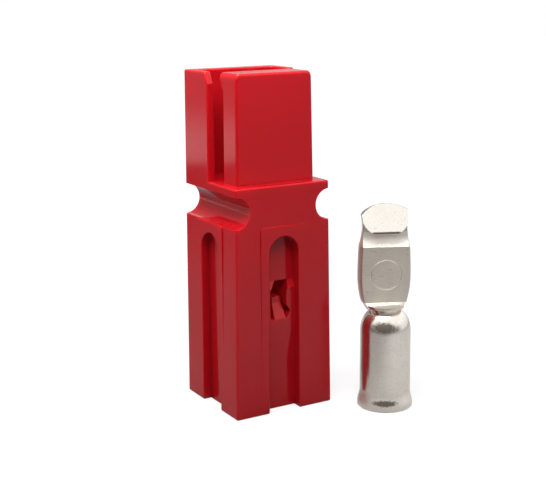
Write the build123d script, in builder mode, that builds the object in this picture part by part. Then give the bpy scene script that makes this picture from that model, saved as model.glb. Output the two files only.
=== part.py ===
from build123d import *
import os
from math import cos, radians, sin, tan

# Genderless single-pole power connector: the moulded housing, the leaf spring that lies in
# its tongue, and its crimp contact, which stands beside it on the mouth of its barrel.
# Millimetres, +Z up. The origin is the centre of the cable bore's mouth, on the surface that
# the housing stands on. The tongue is on the -Y side and the hood on the +Y side.

# Outer block, drafted so that it leaves the mould towards the mating end
housing_height = 80.0
base_width = 26.1
base_depth = 25.5
side_draft_angle = 0.68
front_draft_angle = 0.07
upright_edge_radius = 0.5
base_edge_radius = 0.45

# Mating end: the shelf, the U-shaped hood and the tongue
shelf_height = 54.7
hood_wall = 1.75
hood_back_wall = 3.0
hood_front = 0.85
hood_corner_radius = 0.8
hood_lead_in_depth = 1.5
hood_lead_in_height = 2.7
hood_edge_radius = 0.4
tongue_side_clearance = 0.05
tongue_front_clearance = 0.2
tongue_thickness = 6.1
tongue_taper = 0.6
tongue_edge_radius = 0.7
tongue_corner_width = 1.0
tongue_corner_height = 1.6
tongue_lip_rise = 2.3
tongue_lip_height = 2.2
tongue_lip_ramp_height = 1.9
tongue_lip_radius = 0.7

# Cable bore, and the channel that takes the contact up into the tongue
cable_bore_radius = 7.4
cable_bore_depth = 20.0
bore_clearance = 0.35
bore_lead_in_height = 0.6
contact_clearance = 0.25
channel_floor_wall = 2.95
channel_lip = 2.6
spring_shelf = 1.1

# Half-round grooves across both sides, for the pin that locks stacked housings
groove_radius = 3.7
groove_height = 49.1

# Raised pads with round-topped slots, on all four sides
pad_top = 45.2
pad_rise = 0.3
front_pad_fade = 2.0
side_pad_fade = 15.0
pad_width = 12.4
pad_corner_radius = 0.6
front_slot_width = 8.3
front_slot_top_width = 7.8
front_slot_depth = 3.0
side_slot_width = 9.0
side_slot_top_width = 8.7
side_slot_depth = 2.2
slot_top = 42.7
slot_rim_chamfer = 0.2

# Latch window in the front slot, with its moulded finger
window_left = 2.7
window_right = 1.8
window_top = 31.6
window_foot = 22.4
window_corner_width = 1.8
window_corner_height = 2.1
window_flare_width = 0.6
window_flare_height = 2.8
boss_rise = 1.05
boss_ramp_height = 1.7
boss_foot = 19.0
boss_fade = 7.0
finger_root_width = 3.0
finger_tip_width = 2.2
finger_lean_height = 3.6
finger_lean_depth = 1.9
finger_tip_height = 1.4
finger_tip_thickness = 3.0
finger_root_thickness = 2.6
relief_width = 1.0
relief_height = 3.1
relief_middle_height = 1.7

# Contact barrel: a flared mouth, a straight tube and a dome down to a grooved neck
barrel_radius = 6.03
barrel_height = 18.6
barrel_bore_radius = 4.8
barrel_bore_depth = 17.0
mouth_radius = 6.6
mouth_rim_height = 0.8
mouth_flare_height = 4.0
mouth_edge_chamfer = 0.3
dome_height = 5.0
neck_groove_radius = 3.0
neck_groove_height = 0.85
collar_radius = 4.35
collar_height = 0.55
collar_crown = 0.1

# Contact tongue: a flat, a waisted neck and an angled nose
flat_face = 0.2
flat_foot_width = 8.5
flat_foot_drop = 1.6
flat_corner_width = 10.9
flat_corner_rise = 0.3
flat_width = 12.6
flat_bulge_height = 6.45
flat_top_width = 12.1
flat_height = 13.95
waist_width = 10.72
waist_rise = 3.4
waist_depth = 1.4
waist_slope_height = 2.8
nose_width = 11.3
nose_foot_rise = 3.0
nose_foot_width = 4.6
nose_corner_rise = 3.5
nose_corner_radius = 4.6
nose_rise = 9.8
nose_left_drop = 2.5
nose_right_drop = 1.4
nose_crown = 0.3
nose_crown_rise = 0.6
nose_tip_depth = 3.2
blade_thickness = 4.2
blade_back_chamfer = 0.7
blade_edge_inset = 0.55
blade_edge_depth = 1.8
witness_radius = 3.6
witness_width = 0.3
witness_depth = 0.12
witness_rise = 7.25

# Place of the contact beside the housing, turned to the same side as the tongue
contact_x = 22.9
contact_y = -21.3
contact_turn = -25.0

# Leaf spring in the tongue
spring_thickness = 0.8
spring_width = 10.0
spring_clearance = 0.05

# Every cut runs this far past the surface that it opens
overrun = 1.0

# An edge that climbs more steeply than this, in degrees, is taken for a side edge
side_edge_slope = 30.0

# Sizes worked out from the ones above
side_draft = tan(radians(side_draft_angle))
front_draft = tan(radians(front_draft_angle))
top_width = base_width - 2 * side_draft * housing_height
top_depth = base_depth - 2 * front_draft * housing_height
hood_inner_width = top_width - 2 * hood_wall
hood_back = top_depth / 2 - hood_back_wall
mating_height = housing_height - shelf_height
tongue_width = hood_inner_width - 2 * tongue_side_clearance
tongue_front = tongue_front_clearance - hood_back
tongue_back = tongue_front + tongue_thickness
tongue_lip_back = tongue_back + tongue_lip_rise
tongue_lean = mating_height * tan(radians(tongue_taper))
tongue_top_width = tongue_width - 2 * tongue_lean
lip_foot = housing_height - tongue_lip_height
channel_floor = tongue_front + channel_floor_wall
channel_top = housing_height - channel_lip
collar_top = barrel_height + dome_height + neck_groove_height + collar_height
flat_top = collar_top + flat_height
waist_height = flat_top + waist_rise
nose_foot = flat_top + nose_foot_rise
nose_top = flat_top + nose_rise
flat_foot = collar_top - flat_foot_drop
blade_back = flat_face - blade_thickness
latch_height = window_foot + finger_lean_height + finger_tip_height
bore_radius = mouth_radius + bore_clearance
bore_end = latch_height + collar_top + collar_crown
passage_width = flat_width + 2 * contact_clearance
passage_front = blade_back - contact_clearance
passage_back = nose_crown + contact_clearance
spring_foot = bore_end + spring_shelf


def half_width(z):
    """Half the housing's width at height z."""
    return base_width / 2 - side_draft * z


def half_depth(z):
    """Half the housing's depth at height z."""
    return base_depth / 2 - front_draft * z


def facing_plane(turn, x=0, y=0):
    """An upright plane that faces out to one side: 0 is -Y, -90 is -X.

    Its x runs to the right along the side, and its y is up.
    """
    angle = radians(turn)
    along = (cos(angle), sin(angle), 0)
    out = (sin(angle), -cos(angle), 0)
    return Plane(origin=(x, y, 0), x_dir=along, z_dir=out)


def profile_plane(facing):
    """The upright plane across a facing plane: its x points out of the side, its y is up."""
    return Plane(origin=facing.origin, x_dir=facing.z_dir, z_dir=-facing.x_dir)


# The padded sides: turn, half-size at a height, slot widths, slot depth and the pad's foot
padded_sides = [
    (0, half_depth, front_slot_width, front_slot_top_width, front_slot_depth, front_pad_fade),
    (180, half_depth, front_slot_width, front_slot_top_width, front_slot_depth, front_pad_fade),
    (-90, half_width, side_slot_width, side_slot_top_width, side_slot_depth, side_pad_fade),
    (90, half_width, side_slot_width, side_slot_top_width, side_slot_depth, side_pad_fade),
]
front = facing_plane(0)
front_profile = profile_plane(front)
slot_floor = half_depth(0) - front_slot_depth
boss_face = slot_floor + boss_rise

# The tongue: a tapered block with rounded top corners, and a lip that ends in a ramp at the
# back of its tip
with BuildPart() as tongue:
    with BuildSketch(Plane.XZ):
        with BuildLine():
            Polyline(
                (0, shelf_height),
                (tongue_width / 2, shelf_height),
                (tongue_top_width / 2, housing_height - tongue_corner_height),
            )
            EllipticalCenterArc(
                (tongue_top_width / 2 - tongue_corner_width, housing_height - tongue_corner_height),
                tongue_corner_width,
                tongue_corner_height,
                start_angle=0,
                arc_size=90,
            )
            Line(
                (tongue_top_width / 2 - tongue_corner_width, housing_height),
                (0, housing_height),
            )
            mirror(about=Plane.YZ)
        make_face()
    extrude(amount=base_depth, both=True)
    with BuildSketch(Plane.YZ):
        with BuildLine():
            Polyline(
                (tongue_front, shelf_height),
                (tongue_back, shelf_height),
                (tongue_back, lip_foot - tongue_lip_ramp_height),
                (tongue_lip_back, lip_foot),
                (tongue_lip_back, housing_height),
                (tongue_front + tongue_lean, housing_height),
                close=True,
            )
        make_face()
    extrude(amount=base_width, both=True, mode=Mode.INTERSECT)
    tongue_face = tongue.faces().sort_by(Axis.Y)[0]
    fillet(tongue_face.edges().sort_by(Axis.Z)[1:], tongue_edge_radius)
    lip_edges = tongue.edges().filter_by(
        lambda e: e.center().Y > tongue_lip_back - tongue_lip_radius
        and abs(e.tangent_at(0.5).Z) > sin(radians(side_edge_slope))
    )
    fillet(lip_edges, tongue_lip_radius)

# The latch finger: it leans into the bore and ends in a short upright tip
finger_tip_face = boss_face - finger_lean_depth
finger_lean_top = window_foot + finger_lean_height
with BuildPart() as finger:
    with BuildSketch(front_profile):
        with BuildLine():
            Polyline(
                (boss_face, window_foot - overrun),
                (boss_face, window_foot),
                (finger_tip_face, finger_lean_top),
                (finger_tip_face, latch_height),
                (finger_tip_face - finger_tip_thickness, latch_height),
                (boss_face - finger_root_thickness, window_foot),
                (boss_face - finger_root_thickness, window_foot - overrun),
                close=True,
            )
        make_face()
    extrude(amount=finger_root_width / 2, both=True)
    with BuildSketch(front):
        with BuildLine():
            Polyline(
                (-finger_root_width / 2, window_foot - overrun),
                (-finger_root_width / 2, window_foot),
                (-finger_tip_width / 2, latch_height),
                (finger_tip_width / 2, latch_height),
                (finger_root_width / 2, window_foot),
                (finger_root_width / 2, window_foot - overrun),
                close=True,
            )
        make_face()
    extrude(amount=base_depth, mode=Mode.INTERSECT)

with BuildPart() as housing:
    # Drafted outer block with its long edges rounded
    with BuildSketch(Plane.XZ):
        with BuildLine():
            Polyline(
                (-base_width / 2, 0),
                (base_width / 2, 0),
                (top_width / 2, housing_height),
                (-top_width / 2, housing_height),
                close=True,
            )
        make_face()
    extrude(amount=base_depth, both=True)
    with BuildSketch(Plane.YZ):
        with BuildLine():
            Polyline(
                (-base_depth / 2, 0),
                (base_depth / 2, 0),
                (top_depth / 2, housing_height),
                (-top_depth / 2, housing_height),
                close=True,
            )
        make_face()
    extrude(amount=base_width, both=True, mode=Mode.INTERSECT)
    long_edges = housing.edges().filter_by(lambda e: e.length > housing_height - overrun)
    fillet(long_edges, upright_edge_radius)

    # The front half of the mating end is cut down to the shelf
    with BuildSketch(Plane.XY.offset(shelf_height)):
        with Locations((0, hood_front)):
            Rectangle(base_width + 2 * overrun, base_depth, align=(Align.CENTER, Align.MAX))
    extrude(amount=mating_height + overrun, mode=Mode.SUBTRACT)

    # Inside of the hood
    with BuildSketch(Plane.XY.offset(shelf_height)):
        with Locations((0, hood_back)):
            hollow = Rectangle(
                hood_inner_width,
                hood_back - hood_front + overrun,
                align=(Align.CENTER, Align.MAX),
            )
        fillet(hollow.vertices().group_by(Axis.Y)[-1], hood_corner_radius)
    extrude(amount=mating_height + overrun, mode=Mode.SUBTRACT)

    # Lead-in at the top of the side walls' front ends
    with BuildSketch(Plane.YZ):
        with BuildLine():
            Polyline(
                (hood_front - overrun, housing_height - hood_lead_in_height),
                (hood_front, housing_height - hood_lead_in_height),
                (hood_front + hood_lead_in_depth, housing_height),
                (hood_front + hood_lead_in_depth, housing_height + overrun),
                (hood_front - overrun, housing_height + overrun),
                close=True,
            )
        make_face()
    extrude(amount=base_width, both=True, mode=Mode.SUBTRACT)

    # One radius eases the hood's rim, the front ends of its walls and the edge of the shelf
    rim = housing.faces().sort_by(Axis.Z)[-1].edges()
    wall_ends = housing.edges().filter_by(Axis.X, reverse=True).filter_by(
        lambda e: e.center().Z > shelf_height + overrun
        and e.center().Y < hood_front + hood_lead_in_depth
    )
    shelf_edges = housing.edges().filter_by(
        lambda e: abs(e.center().Z - shelf_height) < overrun and e.center().Y < 0
    )
    fillet(rim + wall_ends + shelf_edges, hood_edge_radius)
    fillet(housing.edges().group_by(Axis.Z)[0], base_edge_radius)

    # Half-round grooves under the shelf
    groove_offset = half_width(groove_height)
    with BuildSketch(Plane.XZ):
        with Locations((-groove_offset, groove_height), (groove_offset, groove_height)):
            Circle(groove_radius)
    extrude(amount=base_depth, both=True, mode=Mode.SUBTRACT)

    # Raised pads: wedges that stand out at the top and fade into the face below,
    # each with a round-topped slot that is open at the foot and has its rim eased
    for turn, half_size, slot_width, slot_top_width, slot_depth, pad_fade in padded_sides:
        facing = facing_plane(turn)
        pad_face = half_size(pad_top) + pad_rise
        with BuildSketch(profile_plane(facing)):
            with BuildLine():
                Polyline(
                    (half_size(pad_fade) - overrun, pad_fade),
                    (half_size(pad_fade), pad_fade),
                    (pad_face, pad_top),
                    (half_size(pad_top) - overrun, pad_top),
                    close=True,
                )
            make_face()
        extrude(amount=pad_width / 2, both=True)
        pad_corners = housing.edges(Select.LAST).filter_by(
            lambda e: e.length < 2 * pad_rise and e.center().Z > pad_top - pad_rise
        )
        fillet(pad_corners, pad_corner_radius)
        arch_radius = slot_top_width / 2
        arch_height = slot_top - arch_radius
        floor = half_size(0) - slot_depth
        with BuildSketch(facing.offset(floor)):
            with BuildLine():
                Polyline(
                    (-arch_radius, arch_height),
                    (-slot_width / 2, 0),
                    (-slot_width / 2, -overrun),
                    (slot_width / 2, -overrun),
                    (slot_width / 2, 0),
                    (arch_radius, arch_height),
                )
                ThreePointArc((arch_radius, arch_height), (0, slot_top), (-arch_radius, arch_height))
            make_face()
        extrude(amount=half_size(0) - floor + overrun, mode=Mode.SUBTRACT)
        slot_rim = housing.edges(Select.LAST).filter_by(
            lambda e: facing.to_local_coords(e.center()).Z > floor + slot_depth / 2
            and e.center().Z > base_edge_radius
            and e.length > slot_depth
        )
        chamfer(slot_rim, slot_rim_chamfer)

    # Thicker wall round the latch window, ramped down to the slot's floor
    with BuildSketch(front_profile):
        with BuildLine():
            Polyline(
                (slot_floor - overrun, window_top),
                (slot_floor, window_top),
                (boss_face, window_top - boss_ramp_height),
                (boss_face, boss_foot),
                (slot_floor, boss_foot - boss_fade),
                (slot_floor - overrun, boss_foot - boss_fade),
                close=True,
            )
        make_face()
    extrude(amount=front_slot_width / 2, both=True)

    # The tongue, its open channel, and the bore and passage that lead up to it
    add(tongue.part)
    with BuildSketch(Plane.XZ):
        with BuildLine():
            Polyline(
                (0, -overrun),
                (cable_bore_radius, -overrun),
                (cable_bore_radius, cable_bore_depth),
                (bore_radius, cable_bore_depth + bore_lead_in_height),
                (bore_radius, bore_end),
                (0, bore_end),
                close=True,
            )
        make_face()
    revolve(axis=Axis.Z, mode=Mode.SUBTRACT)
    with BuildSketch(Plane.XY.offset(bore_end - overrun)):
        with Locations((0, passage_front)):
            Rectangle(passage_width, passage_back - passage_front, align=(Align.CENTER, Align.MIN))
    extrude(amount=shelf_height - bore_end + 2 * overrun, mode=Mode.SUBTRACT)
    with BuildSketch(Plane.XY.offset(spring_foot)):
        with Locations((0, channel_floor)):
            Rectangle(
                passage_width,
                tongue_lip_back - channel_floor + overrun,
                align=(Align.CENTER, Align.MIN),
            )
    extrude(amount=channel_top - spring_foot, mode=Mode.SUBTRACT)

    # Latch window through the front wall, with a relief notch at the right of its foot
    relief_middle = window_foot + relief_middle_height
    relief_top = window_foot + relief_height
    with BuildSketch(front):
        with BuildLine():
            Polyline(
                (-window_left, window_foot),
                (-window_left, window_top - window_corner_height),
                (-window_left + window_corner_width, window_top),
                (window_right + window_flare_width, window_top),
                (window_right, window_top - window_flare_height),
                (window_right, relief_top),
                (window_right + relief_width, relief_middle),
                (window_right, window_foot),
                close=True,
            )
        make_face()
    extrude(amount=base_depth, mode=Mode.SUBTRACT)
    add(finger.part)
housing.part.label = "housing"

# Leaf spring: a bowed strip on the channel's floor, its crest just behind the contact
spring_rest = channel_floor + spring_clearance + spring_thickness
spring_crest = passage_front
spring_top = channel_top - spring_clearance
spring_low = spring_foot + spring_clearance
with BuildPart() as contact_spring:
    with BuildSketch(Plane.YZ):
        with BuildLine():
            ThreePointArc(
                (spring_rest, spring_low),
                (spring_crest, (spring_low + spring_top) / 2),
                (spring_rest, spring_top),
            )
            Line((spring_rest, spring_top), (spring_rest - spring_thickness, spring_top))
            ThreePointArc(
                (spring_rest - spring_thickness, spring_top),
                (spring_crest - spring_thickness, (spring_low + spring_top) / 2),
                (spring_rest - spring_thickness, spring_low),
            )
            Line((spring_rest - spring_thickness, spring_low), (spring_rest, spring_low))
        make_face()
    extrude(amount=spring_width / 2, both=True)
contact_spring.part.label = "contact_spring"

# The contact, in planes of its own at its place beside the housing
contact_front = facing_plane(contact_turn, contact_x, contact_y)
contact_profile = profile_plane(contact_front)
contact_axis = Axis((contact_x, contact_y, 0), (0, 0, 1))
waist_face = flat_face - waist_depth


def blade_depth(face):
    """How far the centre of one of the blade's faces stands out from the contact's axis."""
    return contact_front.to_local_coords(face.center()).Z


def side_edges(face):
    """The edges of a blade face that run up its sides, without those of its foot and tip."""
    return face.edges().filter_by(lambda e: abs(e.tangent_at(0.5).Z) > sin(radians(side_edge_slope)))


# Front outline of the blade: foot, bulged flat, waist and round-topped nose. The nose was
# clipped a little lower on its left.
flat_middle = collar_top + flat_bulge_height
nose_peak = (0, nose_top)
with BuildSketch(contact_front.offset(blade_back)) as blade_outline:
    with BuildLine():
        for side, nose_drop in ((-1, nose_left_drop), (1, nose_right_drop)):
            Polyline(
                (0, flat_foot),
                (side * flat_foot_width / 2, flat_foot),
                (side * flat_corner_width / 2, collar_top + flat_corner_rise),
            )
            TangentArc(
                (side * flat_width / 2, flat_middle),
                (side * flat_corner_width / 2, collar_top + flat_corner_rise),
                tangent=(0, -1),
            )
            TangentArc(
                (side * flat_width / 2, flat_middle),
                (side * flat_top_width / 2, flat_top),
                tangent=(0, 1),
            )
            ThreePointArc(
                (side * flat_top_width / 2, flat_top),
                (side * waist_width / 2, waist_height),
                (side * nose_width / 2, nose_top - nose_drop),
            )
            TangentArc(
                nose_peak,
                (side * nose_width / 2, nose_top - nose_drop),
                tangent=(side, 0),
            )
    make_face()

# The nose's shield stands out from the waist, and its lower corners are arcs
with BuildPart() as nose:
    extrude(blade_outline.sketch, amount=nose_crown - blade_back)
    with BuildSketch(contact_front.offset(waist_face)):
        with BuildLine():
            Line((-nose_foot_width / 2, nose_foot), (nose_foot_width / 2, nose_foot))
            RadiusArc(
                (nose_foot_width / 2, nose_foot),
                (nose_width / 2, nose_foot + nose_corner_rise),
                -nose_corner_radius,
            )
            Polyline(
                (nose_width / 2, nose_foot + nose_corner_rise),
                (nose_width / 2 + overrun, nose_foot + nose_corner_rise),
                (nose_width / 2 + overrun, nose_top + overrun),
                (-nose_width / 2 - overrun, nose_top + overrun),
                (-nose_width / 2 - overrun, nose_foot + nose_corner_rise),
                (-nose_width / 2, nose_foot + nose_corner_rise),
            )
            RadiusArc(
                (-nose_width / 2, nose_foot + nose_corner_rise),
                (-nose_foot_width / 2, nose_foot),
                -nose_corner_radius,
            )
        make_face()
    extrude(amount=nose_crown - waist_face, mode=Mode.INTERSECT)

with BuildPart() as blade:
    # Flat plate whose sides slope back from its face, with its back edges well chamfered
    extrude(blade_outline.sketch, amount=flat_face - blade_back)
    back_face = blade.faces().sort_by(blade_depth)[0]
    chamfer(side_edges(back_face), blade_back_chamfer)
    front_face = blade.faces().sort_by(blade_depth)[-1]
    chamfer(side_edges(front_face), blade_edge_inset, blade_edge_depth, reference=front_face)

    # Waist behind the face, hollowed down to it from the crease, and the shield on it
    with BuildSketch(contact_profile):
        with BuildLine():
            TangentArc(
                (waist_face, flat_top + waist_slope_height),
                (flat_face, flat_top),
                tangent=(0, -1),
            )
            Polyline(
                (flat_face, flat_top),
                (flat_face + overrun, flat_top),
                (flat_face + overrun, nose_top + overrun),
                (waist_face, nose_top + overrun),
                (waist_face, flat_top + waist_slope_height),
            )
        make_face()
    extrude(amount=flat_width, both=True, mode=Mode.SUBTRACT)
    add(nose.part)

    # The nose's face leans back from its crown to the tip
    with BuildSketch(contact_profile):
        with BuildLine():
            Polyline(
                (nose_crown, nose_foot + nose_crown_rise),
                (nose_crown - nose_tip_depth, nose_top),
                (nose_crown - nose_tip_depth, nose_top + overrun),
                (nose_crown + overrun, nose_top + overrun),
                (nose_crown + overrun, nose_foot + nose_crown_rise),
                close=True,
            )
        make_face()
    extrude(amount=flat_width, both=True, mode=Mode.SUBTRACT)

    # Shallow round witness mark in the flat
    with BuildSketch(contact_front.offset(flat_face - witness_depth)):
        with Locations((0, collar_top + witness_rise)):
            Circle(witness_radius + witness_width / 2)
            Circle(witness_radius - witness_width / 2, mode=Mode.SUBTRACT)
    extrude(amount=witness_depth + overrun, mode=Mode.SUBTRACT)

with BuildPart() as contact:
    # Barrel, dome and collar, turned about the upright axis
    dome_top = barrel_height + dome_height
    collar_foot = dome_top + neck_groove_height
    with BuildSketch(contact_front):
        with BuildLine():
            Polyline(
                (barrel_bore_radius, 0),
                (mouth_radius - mouth_edge_chamfer, 0),
                (mouth_radius, mouth_edge_chamfer),
                (mouth_radius, mouth_rim_height),
            )
            Spline(
                (mouth_radius, mouth_rim_height),
                (barrel_radius, mouth_flare_height),
                tangents=((0, 1), (0, 1)),
            )
            Line((barrel_radius, mouth_flare_height), (barrel_radius, barrel_height))
            EllipticalCenterArc(
                (neck_groove_radius, barrel_height),
                barrel_radius - neck_groove_radius,
                dome_height,
                start_angle=0,
                arc_size=90,
            )
            Polyline(
                (neck_groove_radius, dome_top),
                (neck_groove_radius, collar_foot),
                (collar_radius, collar_foot),
                (collar_radius, collar_top),
                (0, collar_top + collar_crown),
                (0, barrel_bore_depth),
                (barrel_bore_radius, barrel_bore_depth),
                (barrel_bore_radius, 0),
            )
        make_face()
    revolve(axis=contact_axis)
    add(blade.part)
contact.part.label = "contact"

os.makedirs("parts", exist_ok=True)
export_step(housing.part, "parts/housing.step")
export_step(contact_spring.part, "parts/contact_spring.step")
export_step(contact.part, "parts/contact.step")
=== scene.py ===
import math

import bpy
from mathutils import Euler, Matrix, Vector


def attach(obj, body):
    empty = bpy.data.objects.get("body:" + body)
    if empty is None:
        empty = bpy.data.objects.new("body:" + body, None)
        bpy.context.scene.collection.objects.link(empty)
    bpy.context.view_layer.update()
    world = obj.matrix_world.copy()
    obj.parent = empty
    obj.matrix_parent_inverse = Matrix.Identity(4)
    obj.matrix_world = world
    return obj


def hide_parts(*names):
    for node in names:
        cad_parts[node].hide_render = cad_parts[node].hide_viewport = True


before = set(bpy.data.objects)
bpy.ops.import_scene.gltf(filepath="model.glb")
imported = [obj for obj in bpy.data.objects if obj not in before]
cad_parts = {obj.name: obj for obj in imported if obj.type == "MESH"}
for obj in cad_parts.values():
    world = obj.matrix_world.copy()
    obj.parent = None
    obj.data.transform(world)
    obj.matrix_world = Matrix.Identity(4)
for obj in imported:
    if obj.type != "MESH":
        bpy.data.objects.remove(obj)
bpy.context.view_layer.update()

# Camera: stands to the front left of the connector and looks a little down on it.
# Its place, turn in degrees and focal length are fitted to the corners of the housing.
IMAGE_WIDTH = 546
SENSOR_WIDTH = 36.0
FOCAL_LENGTH_PIXELS = 1128.17
CAMERA_PLACE = Vector((-0.13055, -0.23076, 0.09846))
CAMERA_AZIMUTH = -30.34
CAMERA_ELEVATION = 12.89
CAMERA_ROLL = -0.60
NEAREST_SEEN = 0.01
FARTHEST_SEEN = 20.0

camera_data = bpy.data.cameras.new("camera")
camera_data.sensor_width = SENSOR_WIDTH
camera_data.lens = FOCAL_LENGTH_PIXELS * SENSOR_WIDTH / IMAGE_WIDTH
camera_data.clip_start = NEAREST_SEEN
camera_data.clip_end = FARTHEST_SEEN
camera = bpy.data.objects.new("camera", camera_data)
bpy.context.scene.collection.objects.link(camera)
aim = Euler((math.radians(90 - CAMERA_ELEVATION), 0, math.radians(CAMERA_AZIMUTH))).to_matrix()
roll = Matrix.Rotation(math.radians(CAMERA_ROLL), 3, "Z")
camera.matrix_world = Matrix.Translation(CAMERA_PLACE) @ (aim @ roll).to_4x4()
bpy.context.scene.camera = camera
bpy.context.scene.view_settings.view_transform = "Standard"

# Studio light: a tent round a table of matt white paper, dim low down and bright on the right and
# overhead. Gloss mirrors all of it and other light has a share of it. The camera sees plain white,
# with a faint shadow on the paper.
WHITE = "#FFFFFF"
FLOOR_SIZE = 3.0
PAPER_SHARE = 0.26
PAPER_GLOW_NEAR = 0.72
PAPER_GLOW_FAR = 0.92
NEAR_REACH = 0.08
FAR_REACH = 0.25
PAPER_GLOW_IN_METAL = 0.29
METAL_GLOW_FROM = -0.05
METAL_GLOW_TO = 0.03
TENT_LOW = 0.14
TENT_SIDE = 0.95
TENT_SIDE_DIRECTION = (1.0, 0.0, 0.0)
TENT_SIDE_FROM = 0.3
TENT_SIDE_TO = 0.8
TENT_HIGH = 1.15
TENT_LIGHT_SHARE = 0.42
TENT_RISE_FROM = 0.15
TENT_RISE_TO = 0.40


def linear(hex_colour):
    """The linear red, green, blue and alpha of an sRGB hex colour, by the curve of sRGB."""
    values = []
    for start in (1, 3, 5):
        share = int(hex_colour[start:start + 2], 16) / 255
        values.append(share / 12.92 if share <= 0.04045 else ((share + 0.055) / 1.055) ** 2.4)
    return (*values, 1.0)


def add_node(tree, kind, settings=None, **links):
    """Adds a node of that kind, with its settings, and links or sets each named input."""
    node = tree.nodes.new(kind)
    for name, value in (settings or {}).items():
        setattr(node, name, value)
    for name, value in links.items():
        socket = node.inputs[int(name[1:]) if name[1:].isdigit() else name.replace("_", " ")]
        if isinstance(value, bpy.types.NodeSocket):
            tree.links.new(value, socket)
        else:
            socket.default_value = value
    return node


def new_material(name):
    """An empty node material, with its output node."""
    material = bpy.data.materials.new(name)
    material.use_nodes = True
    material.node_tree.nodes.clear()
    return material, material.node_tree, material.node_tree.nodes.new("ShaderNodeOutputMaterial")


world = bpy.data.worlds.new("studio")
bpy.context.scene.world = world
world.use_nodes = True
tree = world.node_tree
tree.nodes.clear()
direction = add_node(tree, "ShaderNodeTexCoord").outputs["Generated"]
height = add_node(tree, "ShaderNodeSeparateXYZ", Vector=direction).outputs["Z"]
to_side = add_node(
    tree, "ShaderNodeVectorMath", {"operation": "DOT_PRODUCT"}, i0=direction, i1=TENT_SIDE_DIRECTION
).outputs["Value"]
low_level = add_node(
    tree, "ShaderNodeMapRange", {"interpolation_type": "SMOOTHSTEP"},
    Value=to_side, From_Min=TENT_SIDE_FROM, From_Max=TENT_SIDE_TO,
    To_Min=TENT_LOW, To_Max=TENT_SIDE,
)
tent_level = add_node(
    tree, "ShaderNodeMapRange", {"interpolation_type": "SMOOTHSTEP"},
    Value=height, From_Min=TENT_RISE_FROM, From_Max=TENT_RISE_TO,
    To_Min=low_level.outputs[0], To_Max=TENT_HIGH,
)
light_path = add_node(tree, "ShaderNodeLightPath")
tent_share = add_node(
    tree, "ShaderNodeMix", {"data_type": "FLOAT"},
    i0=light_path.outputs["Is Glossy Ray"], i2=TENT_LIGHT_SHARE, i3=1.0,
)
tent_strength = add_node(
    tree, "ShaderNodeMath", {"operation": "MULTIPLY"},
    i0=tent_level.outputs[0], i1=tent_share.outputs[0],
)
tent = add_node(
    tree, "ShaderNodeBackground", Color=linear(WHITE), Strength=tent_strength.outputs[0]
)
backdrop = add_node(tree, "ShaderNodeBackground", Color=linear(WHITE), Strength=1.0)
shown = add_node(
    tree, "ShaderNodeMixShader",
    i0=light_path.outputs["Is Camera Ray"], i1=tent.outputs[0], i2=backdrop.outputs[0],
)
tree.links.new(shown.outputs[0], add_node(tree, "ShaderNodeOutputWorld").inputs["Surface"])

bpy.ops.object.select_all(action="DESELECT")
bpy.ops.mesh.primitive_plane_add(size=FLOOR_SIZE, location=(0, 0, 0))
floor = bpy.context.object
floor.name = "floor"
material, tree, output = new_material("white_paper")
paper = add_node(
    tree, "ShaderNodeBsdfDiffuse",
    Color=(PAPER_SHARE, PAPER_SHARE, PAPER_SHARE, 1.0), Roughness=1.0,
)
place = add_node(tree, "ShaderNodeTexCoord").outputs["Object"]
to_right = add_node(tree, "ShaderNodeSeparateXYZ", Vector=place).outputs["X"]
from_object = add_node(
    tree, "ShaderNodeVectorMath", {"operation": "LENGTH"}, i0=place
).outputs["Value"]
white_glow = add_node(
    tree, "ShaderNodeMapRange", {"interpolation_type": "SMOOTHSTEP"},
    Value=from_object, From_Min=NEAR_REACH, From_Max=FAR_REACH,
    To_Min=PAPER_GLOW_NEAR, To_Max=PAPER_GLOW_FAR,
)
# For gloss rays the paper glows on the right: a painted reflection of lit paper, shown in the metal
right_glow = add_node(
    tree, "ShaderNodeMapRange", {"interpolation_type": "SMOOTHSTEP"},
    Value=to_right, From_Min=METAL_GLOW_FROM, From_Max=METAL_GLOW_TO,
    To_Min=0.0, To_Max=PAPER_GLOW_IN_METAL,
)
light_path = add_node(tree, "ShaderNodeLightPath")
glossy_glow = add_node(
    tree, "ShaderNodeMath", {"operation": "MULTIPLY"},
    i0=right_glow.outputs[0], i1=light_path.outputs["Is Glossy Ray"],
)
glow_level = add_node(
    tree, "ShaderNodeMix", {"data_type": "FLOAT"},
    i0=light_path.outputs["Is Camera Ray"], i2=glossy_glow.outputs[0], i3=white_glow.outputs[0],
)
glow = add_node(
    tree, "ShaderNodeEmission", Color=linear(WHITE), Strength=glow_level.outputs[0]
)
lit_paper = add_node(tree, "ShaderNodeAddShader", i0=paper.outputs[0], i1=glow.outputs[0])
tree.links.new(lit_paper.outputs[0], output.inputs["Surface"])
floor.data.materials.append(material)

# White card: matt card that stands on the table behind the connector on the left. It glows rather
# than being lit, brightest at its foot as a painted pool of light. That foot is the soft band with
# a sharp lower end that shows in the housing's left faces.
CARD_PLACE = (-0.204, 0.376)
CARD_WIDTH = 0.9
CARD_HEIGHT = 0.5
CARD_TURN = 27.0
CARD_FOOT_GLOW = 1.05
CARD_TOP_GLOW = 0.36
CARD_FADE_FROM = 0.012
CARD_FADE_TO = 0.040

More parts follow.
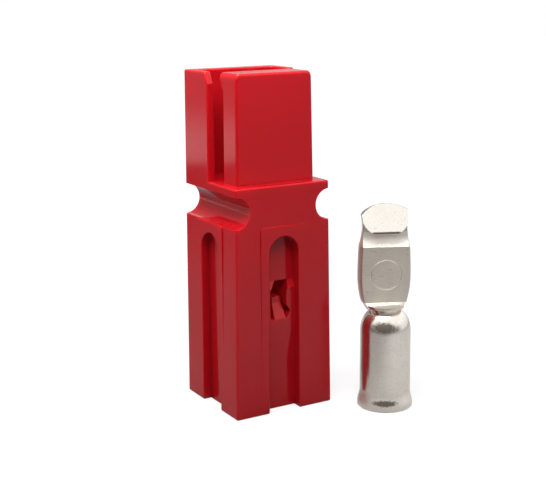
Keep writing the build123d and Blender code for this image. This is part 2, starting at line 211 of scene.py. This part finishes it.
bpy.ops.object.select_all(action="DESELECT")
bpy.ops.mesh.primitive_plane_add(size=1)
card = bpy.context.object
card.name = "card"
bpy.ops.object.mode_set(mode="EDIT")
bpy.ops.transform.resize(value=(CARD_WIDTH, CARD_HEIGHT, 1))
bpy.ops.object.mode_set(mode="OBJECT")
card.rotation_euler = (math.radians(90), 0, math.radians(CARD_TURN))
card.location = (*CARD_PLACE, CARD_HEIGHT / 2)
bpy.ops.object.transform_apply(location=True, rotation=True, scale=True)
material, tree, output = new_material("white_card")
place = add_node(tree, "ShaderNodeTexCoord").outputs["Object"]
card_height = add_node(tree, "ShaderNodeSeparateXYZ", Vector=place).outputs["Z"]
card_level = add_node(
    tree, "ShaderNodeMapRange", {"interpolation_type": "SMOOTHSTEP"},
    Value=card_height, From_Min=CARD_FADE_FROM, From_Max=CARD_FADE_TO,
    To_Min=CARD_FOOT_GLOW, To_Max=CARD_TOP_GLOW,
)
card_light = add_node(
    tree, "ShaderNodeEmission", Color=linear(WHITE), Strength=card_level.outputs[0]
)
card_white = add_node(tree, "ShaderNodeEmission", Color=linear(WHITE), Strength=1.0)
light_path = add_node(tree, "ShaderNodeLightPath")
seen = add_node(
    tree, "ShaderNodeMixShader",
    i0=light_path.outputs["Is Camera Ray"], i1=card_light.outputs[0], i2=card_white.outputs[0],
)
tree.links.new(seen.outputs[0], output.inputs["Surface"])
card.data.materials.append(material)

# Lamps: a square soft box overhead, one beside the camera and one on the left. They stand close,
# so the light falls off towards the table, and only the one overhead shows in gloss.
LAMPS = {
    "overhead_soft_box": {"place": (-0.02, 0.00, 0.20), "side": 0.15, "power": 0.38},
    "camera_side_soft_box": {"place": (-0.035, -0.09, 0.155), "side": 0.07, "power": 0.135},
    "left_soft_box": {"place": (-0.11, 0.07, 0.155), "side": 0.09, "power": 0.13},
}
LAMP_IN_GLOSS = "overhead_soft_box"
AIM_POINT = Vector((0.0, 0.0, 0.04))
for name, lamp in LAMPS.items():
    light = bpy.data.lights.new(name, "AREA")
    light.shape = "RECTANGLE"
    light.size = light.size_y = lamp["side"]
    light.energy = lamp["power"]
    holder = bpy.data.objects.new(name, light)
    bpy.context.scene.collection.objects.link(holder)
    holder.location = lamp["place"]
    holder.rotation_euler = (AIM_POINT - holder.location).to_track_quat("-Z", "Y").to_euler()
    holder.visible_camera = False
    holder.visible_glossy = name == LAMP_IN_GLOSS

# Housing: one injection moulding in red polycarbonate, with the gloss of its polished mould. Light
# goes a little way into it, and the bore's wall has a painted glow, so its slots and window stay a
# deep red and never turn black. The mould's parting line in the grooves is a painted highlight, a
# pale line of colour where its ridge would catch the light.
WELD_DISTANCE = 1e-6
FLAT_ANGLE = 0.5
EDGE_ANGLE = 35.0
EDGE_STEPS = 2
SMOOTH_ANGLE = 22.0
LARGE_FACE_WEIGHT = 100
HOUSING_EDGE_ROUND = 0.00020
DEEP_RED = "#AE0E18"
LIGHT_RED = "#BC121D"
SEAM_HIGHLIGHT_RED = "#E8646A"
GLOW_RED = "#8C0C12"
PLASTIC_CLOUD = 0.022
PLASTIC_WAVE = 0.007
PLASTIC_WAVE_DEPTH = 0.000004
PLASTIC_SPECK = 0.0005
SPECK_RANGE = (0.35, 0.75)
PLASTIC_ROUGHNESS = (0.07, 0.12)
PLASTIC_IOR = 1.42
PLASTIC_GLOSS = 0.42
LIGHT_SHARE_INSIDE = 0.5
LIGHT_SPREAD = (1.0, 0.08, 0.08)
LIGHT_DEPTH = 0.0028
WALL_GLOW = 0.10
BORE_RADIUS = 0.0071
BORE_EDGE = 0.0078
SEAM_HEIGHT = 0.0491
SEAM_HALF_WIDTH = 0.00010
SEAM_INNER = 0.0084
SEAM_OUTER = 0.0092
SEAM_END = 0.0125


def shade(piece):
    """Smooth shading that keeps the sharp edges sharp and the large faces flat."""
    bpy.ops.object.select_all(action="DESELECT")
    piece.select_set(True)
    bpy.context.view_layer.objects.active = piece
    bpy.ops.mesh.customdata_custom_splitnormals_clear()
    bpy.ops.object.shade_smooth_by_angle(angle=math.radians(SMOOTH_ANGLE), keep_sharp_edges=False)
    weighted = piece.modifiers.new("weighted", "WEIGHTED_NORMAL")
    weighted.keep_sharp = True
    weighted.weight = LARGE_FACE_WEIGHT
    bpy.ops.object.modifier_apply(modifier=weighted.name)


def shown_copy(node, name, edge_round):
    """A smooth-shaded copy of a CAD node with rounded edges, which is shown in its place."""
    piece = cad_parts[node].copy()
    piece.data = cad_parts[node].data.copy()
    piece.name = name
    for key in list(piece.keys()):
        del piece[key]
    piece.parent = None
    piece.matrix_world = Matrix.Identity(4)
    bpy.context.scene.collection.objects.link(piece)
    bpy.ops.object.select_all(action="DESELECT")
    piece.select_set(True)
    bpy.context.view_layer.objects.active = piece
    bpy.ops.object.mode_set(mode="EDIT")
    bpy.ops.mesh.select_all(action="SELECT")
    bpy.ops.mesh.remove_doubles(threshold=WELD_DISTANCE)
    bpy.ops.mesh.dissolve_limited(angle_limit=math.radians(FLAT_ANGLE))
    bpy.ops.object.mode_set(mode="OBJECT")
    bevel = piece.modifiers.new("bevel", "BEVEL")
    bevel.width = edge_round
    bevel.segments = EDGE_STEPS
    bevel.limit_method = "ANGLE"
    bevel.angle_limit = math.radians(EDGE_ANGLE)
    bpy.ops.object.modifier_apply(modifier=bevel.name)
    shade(piece)
    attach(piece, "root")
    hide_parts(node)
    return piece


housing = shown_copy("housing", "housing_moulding", HOUSING_EDGE_ROUND)
material, tree, output = new_material("red_polycarbonate")
place = add_node(tree, "ShaderNodeTexCoord").outputs["Object"]
cloud = add_node(tree, "ShaderNodeTexNoise", Vector=place, Scale=1 / PLASTIC_CLOUD, Detail=2.0)
cloudy_red = add_node(
    tree, "ShaderNodeMix", {"data_type": "RGBA"},
    i0=cloud.outputs["Fac"], i6=linear(DEEP_RED), i7=linear(LIGHT_RED),
)
axes = add_node(tree, "ShaderNodeSeparateXYZ", Vector=place).outputs
# Painted highlight: the parting line in the grooves is coloured as a thin pale line
above_seam = add_node(
    tree, "ShaderNodeMath", {"operation": "SUBTRACT"}, i0=axes["Z"], i1=SEAM_HEIGHT
)
seam_near = add_node(tree, "ShaderNodeMath", {"operation": "ABSOLUTE"}, i0=above_seam.outputs[0])
on_seam = add_node(
    tree, "ShaderNodeMapRange", {"interpolation_type": "SMOOTHSTEP"},
    Value=seam_near.outputs[0], From_Min=0.0, From_Max=SEAM_HALF_WIDTH, To_Min=1.0, To_Max=0.0,
)
across = add_node(tree, "ShaderNodeMath", {"operation": "ABSOLUTE"}, i0=axes["X"])
along = add_node(tree, "ShaderNodeMath", {"operation": "ABSOLUTE"}, i0=axes["Y"])
past_inner = add_node(
    tree, "ShaderNodeMath", {"operation": "GREATER_THAN"}, i0=across.outputs[0], i1=SEAM_INNER
)
before_outer = add_node(
    tree, "ShaderNodeMath", {"operation": "LESS_THAN"}, i0=across.outputs[0], i1=SEAM_OUTER
)
before_end = add_node(
    tree, "ShaderNodeMath", {"operation": "LESS_THAN"}, i0=along.outputs[0], i1=SEAM_END
)
seam = on_seam.outputs[0]
for limit in (past_inner, before_outer, before_end):
    seam = add_node(
        tree, "ShaderNodeMath", {"operation": "MULTIPLY"}, i0=seam, i1=limit.outputs[0]
    ).outputs[0]
seam_highlighted_red = add_node(
    tree, "ShaderNodeMix", {"data_type": "RGBA"},
    i0=seam, i6=cloudy_red.outputs[2], i7=linear(SEAM_HIGHLIGHT_RED),
)
wave = add_node(tree, "ShaderNodeTexNoise", Vector=place, Scale=1 / PLASTIC_WAVE, Detail=1.0)
waved = add_node(
    tree, "ShaderNodeBump",
    Strength=1.0, Distance=PLASTIC_WAVE_DEPTH, Height=wave.outputs["Fac"],
)
speck = add_node(tree, "ShaderNodeTexNoise", Vector=place, Scale=1 / PLASTIC_SPECK, Detail=3.0)
dullness = add_node(
    tree, "ShaderNodeMapRange",
    Value=speck.outputs["Fac"], From_Min=SPECK_RANGE[0], From_Max=SPECK_RANGE[1],
    To_Min=PLASTIC_ROUGHNESS[0], To_Max=PLASTIC_ROUGHNESS[1],
)
# The bore's wall glows faintly, in place of the light that comes in through the real walls
from_axis = add_node(
    tree, "ShaderNodeVectorMath", {"operation": "MULTIPLY"}, i0=place, i1=(1.0, 1.0, 0.0)
)
axis_distance = add_node(
    tree, "ShaderNodeVectorMath", {"operation": "LENGTH"}, i0=from_axis.outputs[0]
).outputs["Value"]
in_bore = add_node(
    tree, "ShaderNodeMapRange", {"interpolation_type": "SMOOTHSTEP"},
    Value=axis_distance, From_Min=BORE_RADIUS, From_Max=BORE_EDGE, To_Min=WALL_GLOW, To_Max=0.0,
)
plastic = add_node(
    tree, "ShaderNodeBsdfPrincipled",
    Base_Color=seam_highlighted_red.outputs[2], Roughness=dullness.outputs[0], IOR=PLASTIC_IOR,
    Subsurface_Weight=LIGHT_SHARE_INSIDE, Subsurface_Radius=LIGHT_SPREAD,
    Subsurface_Scale=LIGHT_DEPTH, Specular_IOR_Level=PLASTIC_GLOSS, Normal=waved.outputs[0],
    Emission_Color=linear(GLOW_RED), Emission_Strength=in_bore.outputs[0],
)
tree.links.new(plastic.outputs[0], output.inputs["Surface"])
housing.data.materials.clear()
housing.data.materials.append(material)

# Contact: forged from copper bar and silver plated. The barrel is turned and bored, the flat is
# coined with its foot a little proud, and the nose is sheared and polished. Scratches and grain are
# drawn coarser than the real ones, so that they show.
CONTACT_EDGE_ROUND = 0.00010
CONTACT_PLACE = (0.0229, -0.0213, 0.0)
CONTACT_TURN = -25.0
FLAT_FOOT = 0.0254
FLAT_TOP = 0.03895
FOOT_LOW = 0.0248
FOOT_GAP = 0.00002
FOOT_REACH = 0.00012
FOOT_FLARE = 0.0005
NOSE_FOOT = 0.04235
SCRATCH_WIDTH = 0.00012
SCRATCH_LENGTH = 0.0020
STAIN_SIZE = 0.004
GRAIN_SIZE = 0.0004

contact = shown_copy("contact", "contact_forging", CONTACT_EDGE_ROUND)
bpy.ops.object.mode_set(mode="EDIT")
bpy.ops.mesh.select_all(action="SELECT")
bpy.ops.mesh.bisect(plane_co=(0, 0, FLAT_FOOT), plane_no=(0, 0, 1))
bpy.ops.mesh.select_mode(type="VERT")
bpy.ops.mesh.select_all(action="DESELECT")
bpy.ops.object.mode_set(mode="OBJECT")
# The flat's foot is drawn forward on its front plane, with the corners where it meets the collar
own_frame = (
    Matrix.Translation(CONTACT_PLACE) @ Matrix.Rotation(math.radians(CONTACT_TURN), 4, "Z")
)
to_own = own_frame.inverted()
front = min(
    (to_own @ vertex.co).y
    for vertex in contact.data.vertices if FLAT_FOOT < vertex.co.z < FLAT_TOP
)
for vertex in contact.data.vertices:
    on_front = abs((to_own @ vertex.co).y - front) < FOOT_REACH
    vertex.select = on_front and FOOT_LOW < vertex.co.z < FLAT_FOOT - FOOT_GAP
bpy.ops.object.mode_set(mode="EDIT")
bpy.ops.transform.translate(value=own_frame.to_3x3() @ Vector((0, -FOOT_FLARE, 0)))
bpy.ops.object.mode_set(mode="OBJECT")
shade(contact)
material, tree, output = new_material("silver_plated_copper")
place = add_node(tree, "ShaderNodeTexCoord").outputs["Object"]
own_place = add_node(
    tree, "ShaderNodeMapping", {"vector_type": "TEXTURE"},
    Vector=place, Location=CONTACT_PLACE, Rotation=(0.0, 0.0, math.radians(CONTACT_TURN)),
).outputs[0]
axes = add_node(tree, "ShaderNodeSeparateXYZ", Vector=own_place).outputs
above_foot = add_node(
    tree, "ShaderNodeMath", {"operation": "GREATER_THAN"}, i0=axes["Z"], i1=FLAT_FOOT
)
below_top = add_node(
    tree, "ShaderNodeMath", {"operation": "LESS_THAN"}, i0=axes["Z"], i1=FLAT_TOP
)
coined = add_node(
    tree, "ShaderNodeMath", {"operation": "MULTIPLY"},
    i0=above_foot.outputs[0], i1=below_top.outputs[0],
).outputs[0]
scratch_place = add_node(
    tree, "ShaderNodeMapping", Vector=own_place,
    Scale=(1 / SCRATCH_LENGTH, 1 / SCRATCH_WIDTH, 1 / SCRATCH_WIDTH),
)
scratch = add_node(
    tree, "ShaderNodeTexNoise", Vector=scratch_place.outputs[0], Scale=1.0, Detail=3.0
)
stain = add_node(tree, "ShaderNodeTexNoise", Vector=own_place, Scale=1 / STAIN_SIZE, Detail=4.0)
grain = add_node(tree, "ShaderNodeTexNoise", Vector=own_place, Scale=1 / GRAIN_SIZE, Detail=4.0)

# Contact colour: warm silver plate, with flecks of grain on the bright faces and sparse scratches
# on the flat. The sheared lip under the nose is brown painted shade, the brown patch on the
# shoulder is a painted dark reflection, and the mouth has a dark brown patch at its front.
DULL_SILVER = "#E6DED2"
CLEAN_SILVER = "#F6F1EA"
FLECK_GREY = "#A8A196"
FLECK_RANGE = (0.58, 0.68)
FLECK_SHARE = 0.3
FLAT_DULL_SILVER = "#DDD3C6"
FLAT_CLEAN_SILVER = "#F4ECE1"
SCRATCH_GREY = "#8F867B"
SCRATCH_RANGE = (0.64, 0.72)
SCRATCH_SHARE = 0.7
LIP_SHADE_BROWN = "#6A5B50"
LIP_HALF_HEIGHT = 0.00035
LIP_FULL_HEIGHT = 0.5
LIP_HALF_WIDTH = 0.0036
LIP_FULL_WIDTH = 0.8
LIP_SHADE_SHARE = 0.85
# Dark patches: on the shoulder a painted dark reflection, at the front of the mouth a darker patch
DARK_PATCHES = {
    "shoulder": {"centre": (-0.0012, -0.0045, 0.0207), "half_size": (0.0030, 0.05, 0.0015)},
    "mouth": {"centre": (-0.0010, -0.0060, 0.0022), "half_size": (0.0034, 0.05, 0.0008)},
}
PATCH_BROWN = "#6A5D52"
PATCH_RAGGEDNESS = 1.1
PATCH_RANGE = (1.15, 1.6)
PATCH_SHARE = 0.9

bright_silver = add_node(
    tree, "ShaderNodeMix", {"data_type": "RGBA"},
    i0=stain.outputs["Fac"], i6=linear(DULL_SILVER), i7=linear(CLEAN_SILVER),
)
fleck = add_node(
    tree, "ShaderNodeMapRange",
    Value=grain.outputs["Fac"], From_Min=FLECK_RANGE[0], From_Max=FLECK_RANGE[1],
    To_Min=0.0, To_Max=FLECK_SHARE,
)
grained_silver = add_node(
    tree, "ShaderNodeMix", {"data_type": "RGBA"},
    i0=fleck.outputs[0], i6=bright_silver.outputs[2], i7=linear(FLECK_GREY),
)
flat_silver = add_node(
    tree, "ShaderNodeMix", {"data_type": "RGBA"},
    i0=stain.outputs["Fac"], i6=linear(FLAT_DULL_SILVER), i7=linear(FLAT_CLEAN_SILVER),
)
deep_scratch = add_node(
    tree, "ShaderNodeMapRange",
    Value=scratch.outputs["Fac"], From_Min=SCRATCH_RANGE[0], From_Max=SCRATCH_RANGE[1],
    To_Min=0.0, To_Max=SCRATCH_SHARE,
)
scratched_silver = add_node(
    tree, "ShaderNodeMix", {"data_type": "RGBA"},
    i0=deep_scratch.outputs[0], i6=flat_silver.outputs[2], i7=linear(SCRATCH_GREY),
)
silver_colour = add_node(
    tree, "ShaderNodeMix", {"data_type": "RGBA"},
    i0=coined, i6=grained_silver.outputs[2], i7=scratched_silver.outputs[2],
).outputs[2]
# Painted shade: the sheared lip under the nose, on the front, is darkened to brown
from_lip = add_node(
    tree, "ShaderNodeMath", {"operation": "SUBTRACT"}, i0=axes["Z"], i1=NOSE_FOOT
)
lip_distance = add_node(tree, "ShaderNodeMath", {"operation": "ABSOLUTE"}, i0=from_lip.outputs[0])
on_lip = add_node(
    tree, "ShaderNodeMapRange", {"interpolation_type": "SMOOTHSTEP"},
    Value=lip_distance.outputs[0], From_Min=LIP_HALF_HEIGHT * LIP_FULL_HEIGHT,
    From_Max=LIP_HALF_HEIGHT, To_Min=1.0, To_Max=0.0,
)
across = add_node(tree, "ShaderNodeMath", {"operation": "ABSOLUTE"}, i0=axes["X"])
lip_middle = add_node(
    tree, "ShaderNodeMapRange", {"interpolation_type": "SMOOTHSTEP"},
    Value=across.outputs[0], From_Min=LIP_HALF_WIDTH * LIP_FULL_WIDTH,
    From_Max=LIP_HALF_WIDTH, To_Min=LIP_SHADE_SHARE, To_Max=0.0,
)
in_front = add_node(tree, "ShaderNodeMath", {"operation": "LESS_THAN"}, i0=axes["Y"], i1=0.0)
lip_shade = on_lip.outputs[0]
for limit in (lip_middle, in_front):
    lip_shade = add_node(
        tree, "ShaderNodeMath", {"operation": "MULTIPLY"}, i0=lip_shade, i1=limit.outputs[0]
    ).outputs[0]
silver_colour = add_node(
    tree, "ShaderNodeMix", {"data_type": "RGBA"},
    i0=lip_shade, i6=silver_colour, i7=linear(LIP_SHADE_BROWN),
).outputs[2]
roughened = lip_shade
# Brown and rough patches: a painted dark reflection on the shoulder, a darker patch at the mouth
for patch in DARK_PATCHES.values():
    from_centre = add_node(
        tree, "ShaderNodeVectorMath", {"operation": "SUBTRACT"}, i0=own_place, i1=patch["centre"]
    )
    in_halves = add_node(
        tree, "ShaderNodeVectorMath", {"operation": "DIVIDE"},
        i0=from_centre.outputs[0], i1=patch["half_size"],
    )
    reach = add_node(
        tree, "ShaderNodeVectorMath", {"operation": "LENGTH"}, i0=in_halves.outputs[0]
    ).outputs["Value"]
    ragged_reach = add_node(
        tree, "ShaderNodeMath", {"operation": "MULTIPLY_ADD"},
        i0=grain.outputs["Fac"], i1=PATCH_RAGGEDNESS, i2=reach,
    )
    in_patch = add_node(
        tree, "ShaderNodeMapRange", {"interpolation_type": "SMOOTHSTEP"},
        Value=ragged_reach.outputs[0], From_Min=PATCH_RANGE[0], From_Max=PATCH_RANGE[1],
        To_Min=PATCH_SHARE, To_Max=0.0,
    )
    patch_share = add_node(
        tree, "ShaderNodeMath", {"operation": "MULTIPLY"},
        i0=in_patch.outputs[0], i1=in_front.outputs[0],
    ).outputs[0]
    silver_colour = add_node(
        tree, "ShaderNodeMix", {"data_type": "RGBA"},
        i0=patch_share, i6=silver_colour, i7=linear(PATCH_BROWN),
    ).outputs[2]
    roughened = add_node(
        tree, "ShaderNodeMath", {"operation": "MAXIMUM"}, i0=roughened, i1=patch_share
    ).outputs[0]

# Contact surface: rough on the flat, at the waist above it, at the mouth, on the lip and in the
# dark patches, and bright elsewhere. Off the flat there are fine turning lines, coarser than real
# ones.
# The witness ring on the flat is pressed a little deeper than the mesh has it.
NOISE_RANGE = (0.3, 0.7)
BRIGHT_ROUGHNESS = (0.16, 0.26)
FLAT_ROUGHNESS = (0.38, 0.50)
ADDED_ROUGHNESS = 0.36
MOUTH_TOP = 0.0050
MOUTH_FULL_HEIGHT = 0.7
MOUTH_SHARE = 0.8
TURNING_PITCH = 0.00035
TURNING_WOBBLE = 1.5
BAND_RADIANS = 20
TOOL_MARK_DEPTH = 0.0000015
RING_CENTRE = (0.0, 0.0, 0.03225)
RING_RADIUS = 0.0036
RING_HALF_WIDTH = 0.00022
RING_DEPTH = 0.00008

bright_roughness = add_node(
    tree, "ShaderNodeMapRange",
    Value=grain.outputs["Fac"], From_Min=NOISE_RANGE[0], From_Max=NOISE_RANGE[1],
    To_Min=BRIGHT_ROUGHNESS[0], To_Max=BRIGHT_ROUGHNESS[1],
)
above_flat = add_node(
    tree, "ShaderNodeMath", {"operation": "GREATER_THAN"}, i0=axes["Z"], i1=FLAT_TOP
)
below_nose = add_node(
    tree, "ShaderNodeMath", {"operation": "LESS_THAN"}, i0=axes["Z"], i1=NOSE_FOOT
)
at_waist = add_node(
    tree, "ShaderNodeMath", {"operation": "MULTIPLY"},
    i0=above_flat.outputs[0], i1=below_nose.outputs[0],
)
at_mouth = add_node(
    tree, "ShaderNodeMapRange", {"interpolation_type": "SMOOTHSTEP"},
    Value=axes["Z"], From_Min=MOUTH_TOP * MOUTH_FULL_HEIGHT, From_Max=MOUTH_TOP,
    To_Min=MOUTH_SHARE, To_Max=0.0,
)
for area in (at_waist, at_mouth):
    roughened = add_node(
        tree, "ShaderNodeMath", {"operation": "MAXIMUM"}, i0=roughened, i1=area.outputs[0]
    ).outputs[0]
worked_roughness = add_node(
    tree, "ShaderNodeMath", {"operation": "MULTIPLY_ADD", "use_clamp": True},
    i0=roughened, i1=ADDED_ROUGHNESS, i2=bright_roughness.outputs[0],
)
flat_roughness = add_node(
    tree, "ShaderNodeMapRange",
    Value=scratch.outputs["Fac"], From_Min=NOISE_RANGE[0], From_Max=NOISE_RANGE[1],
    To_Min=FLAT_ROUGHNESS[0], To_Max=FLAT_ROUGHNESS[1],
)
silver_roughness = add_node(
    tree, "ShaderNodeMix", {"data_type": "FLOAT"},
    i0=coined, i2=worked_roughness.outputs[0], i3=flat_roughness.outputs[0],
)
# The band pattern turns BAND_RADIANS in a unit of length
turning = add_node(
    tree, "ShaderNodeTexWave", {"wave_type": "BANDS", "bands_direction": "Z"},
    Vector=own_place, Scale=math.tau / BAND_RADIANS / TURNING_PITCH,
    Distortion=TURNING_WOBBLE, Detail=2.0,
)
tool_marks = add_node(
    tree, "ShaderNodeMix", {"data_type": "FLOAT"},
    i0=coined, i2=turning.outputs["Fac"], i3=scratch.outputs["Fac"],
)
from_ring = add_node(
    tree, "ShaderNodeVectorMath", {"operation": "SUBTRACT"}, i0=own_place, i1=RING_CENTRE
)
from_ring = add_node(
    tree, "ShaderNodeVectorMath", {"operation": "MULTIPLY"},
    i0=from_ring.outputs[0], i1=(1.0, 0.0, 1.0),
)
ring_reach = add_node(
    tree, "ShaderNodeVectorMath", {"operation": "LENGTH"}, i0=from_ring.outputs[0]
).outputs["Value"]
ring_offset = add_node(
    tree, "ShaderNodeMath", {"operation": "SUBTRACT"}, i0=ring_reach, i1=RING_RADIUS
)
ring_offset = add_node(tree, "ShaderNodeMath", {"operation": "ABSOLUTE"}, i0=ring_offset.outputs[0])
ring_height = add_node(
    tree, "ShaderNodeMapRange", {"interpolation_type": "SMOOTHSTEP"},
    Value=ring_offset.outputs[0], From_Min=0.0, From_Max=RING_HALF_WIDTH,
    To_Min=-RING_DEPTH, To_Max=0.0,
)
ring_on_front = add_node(
    tree, "ShaderNodeMath", {"operation": "MULTIPLY"},
    i0=ring_height.outputs[0], i1=in_front.outputs[0],
)
relief = add_node(
    tree, "ShaderNodeMath", {"operation": "MULTIPLY_ADD"},
    i0=tool_marks.outputs[0], i1=TOOL_MARK_DEPTH, i2=ring_on_front.outputs[0],
)
marked = add_node(tree, "ShaderNodeBump", Strength=1.0, Distance=1.0, Height=relief.outputs[0])
silver = add_node(
    tree, "ShaderNodeBsdfPrincipled",
    Base_Color=silver_colour, Metallic=1.0, Roughness=silver_roughness.outputs[0],
    Normal=marked.outputs[0],
)
tree.links.new(silver.outputs[0], output.inputs["Surface"])
contact.data.materials.clear()
contact.data.materials.append(material)

# Contact spring: a leaf of rolled stainless steel, bowed and laid in the tongue's channel. The
# rolls leave fine lines along its length, drawn coarser than the real ones.
SPRING_EDGE_ROUND = 0.00004
STEEL_DARK = "#A9A6A0"
STEEL_LIGHT = "#C6C3BD"
STEEL_ROUGHNESS = (0.26, 0.40)
ROLL_LINE_WIDTH = 0.00015
ROLL_LINE_LENGTH = 0.006
ROLL_LINE_DEPTH = 0.000003
ROLL_LINE_STRENGTH = 0.5

spring = shown_copy("contact_spring", "spring_leaf", SPRING_EDGE_ROUND)
material, tree, output = new_material("rolled_stainless_steel")
place = add_node(tree, "ShaderNodeTexCoord").outputs["Object"]
line_place = add_node(
    tree, "ShaderNodeMapping", Vector=place,
    Scale=(1 / ROLL_LINE_WIDTH, 1 / ROLL_LINE_WIDTH, 1 / ROLL_LINE_LENGTH),
)
lines = add_node(tree, "ShaderNodeTexNoise", Vector=line_place.outputs[0], Scale=1.0, Detail=3.0)
steel_colour = add_node(
    tree, "ShaderNodeMix", {"data_type": "RGBA"},
    i0=lines.outputs["Fac"], i6=linear(STEEL_DARK), i7=linear(STEEL_LIGHT),
)
steel_roughness = add_node(
    tree, "ShaderNodeMapRange",
    Value=lines.outputs["Fac"], From_Min=NOISE_RANGE[0], From_Max=NOISE_RANGE[1],
    To_Min=STEEL_ROUGHNESS[0], To_Max=STEEL_ROUGHNESS[1],
)
rolled = add_node(
    tree, "ShaderNodeBump",
    Strength=ROLL_LINE_STRENGTH, Distance=ROLL_LINE_DEPTH, Height=lines.outputs["Fac"],
)
steel = add_node(
    tree, "ShaderNodeBsdfPrincipled",
    Base_Color=steel_colour.outputs[2], Metallic=1.0, Roughness=steel_roughness.outputs[0],
    Normal=rolled.outputs[0],
)
tree.links.new(steel.outputs[0], output.inputs["Surface"])
spring.data.materials.clear()
spring.data.materials.append(material)
